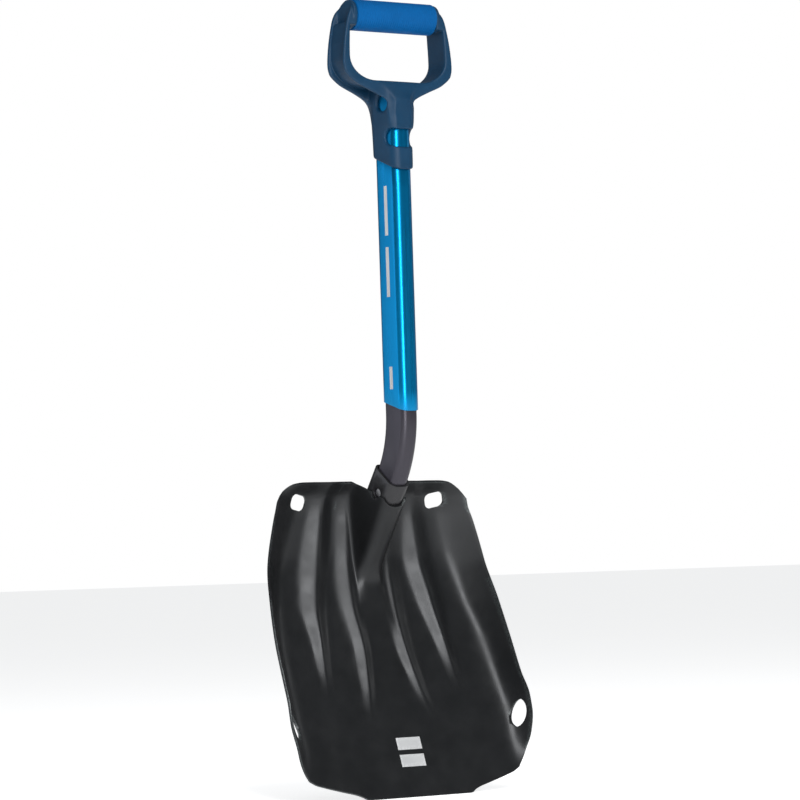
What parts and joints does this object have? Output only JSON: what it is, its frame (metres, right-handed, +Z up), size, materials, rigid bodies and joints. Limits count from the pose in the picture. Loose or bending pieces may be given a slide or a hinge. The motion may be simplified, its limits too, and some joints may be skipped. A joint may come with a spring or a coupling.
{
  "type": "avalanche shovel",
  "caption": "Compact telescoping rescue shovel with a D-grip, a blue upper tube, a curved black lower tube and a ribbed black scoop blade that comes off at a button catch",
  "frame": {"origin": "bottom centre of the bounding box, at the blade's cutting edge", "axes": "+Z up along the straight shaft to the grip, the scoop faces -Y, +X to the right of someone facing the scoop"},
  "size_m": [0.244, 0.084, 0.6715],
  "materials": {
    "blade_black": "satin black anodised",
    "socket_black": "satin black anodised",
    "tube_black": "satin black anodised",
    "tube_blue": "satin blue anodised",
    "grip_nylon": "fine-textured moulded nylon",
    "grip_soft": "matte ribbed",
    "black_plastic": "matte",
    "steel": "brushed",
    "rivet_metal": "satin"
  },
  "bodies": {
    "blade": {"blade": "blade_black", "blade_socket": "socket_black"},
    "lower": {"lower_shaft": "tube_black", "snow_plug": "black_plastic", "guide_bush": "black_plastic", "telescope_spring": "steel", "blade_spring": "steel"},
    "upper": {"upper_shaft": "tube_blue", "grip_frame": "grip_nylon", "grip_rubber": "grip_soft", "grip_rivets": "rivet_metal"},
    "telescope_catch": {"telescope_button": "steel"},
    "blade_catch": {"blade_button": "steel"}
  },
  "joints": [
    {"name": "blade_release", "type": "slide", "parent": "blade", "child": "lower", "axis": [0, -0.6157, 0.788], "range_m": [0, 0.065]},
    {"name": "telescope", "type": "slide", "parent": "lower", "child": "upper", "axis": [0, 0, 1], "range_m": [0, 0.17]},
    {"name": "telescope_catch_press", "type": "slide", "parent": "lower", "child": "telescope_catch", "axis": [0, 1, 0], "range_m": [0, 0.0035], "stiffness_N_per_m": 1500, "springref_m": 0.0035},
    {"name": "blade_catch_press", "type": "slide", "parent": "lower", "child": "blade_catch", "axis": [-0.9766, -0.1693, -0.1323], "range_m": [0, 0.003], "stiffness_N_per_m": 1500, "springref_m": 0.003}
  ]
}
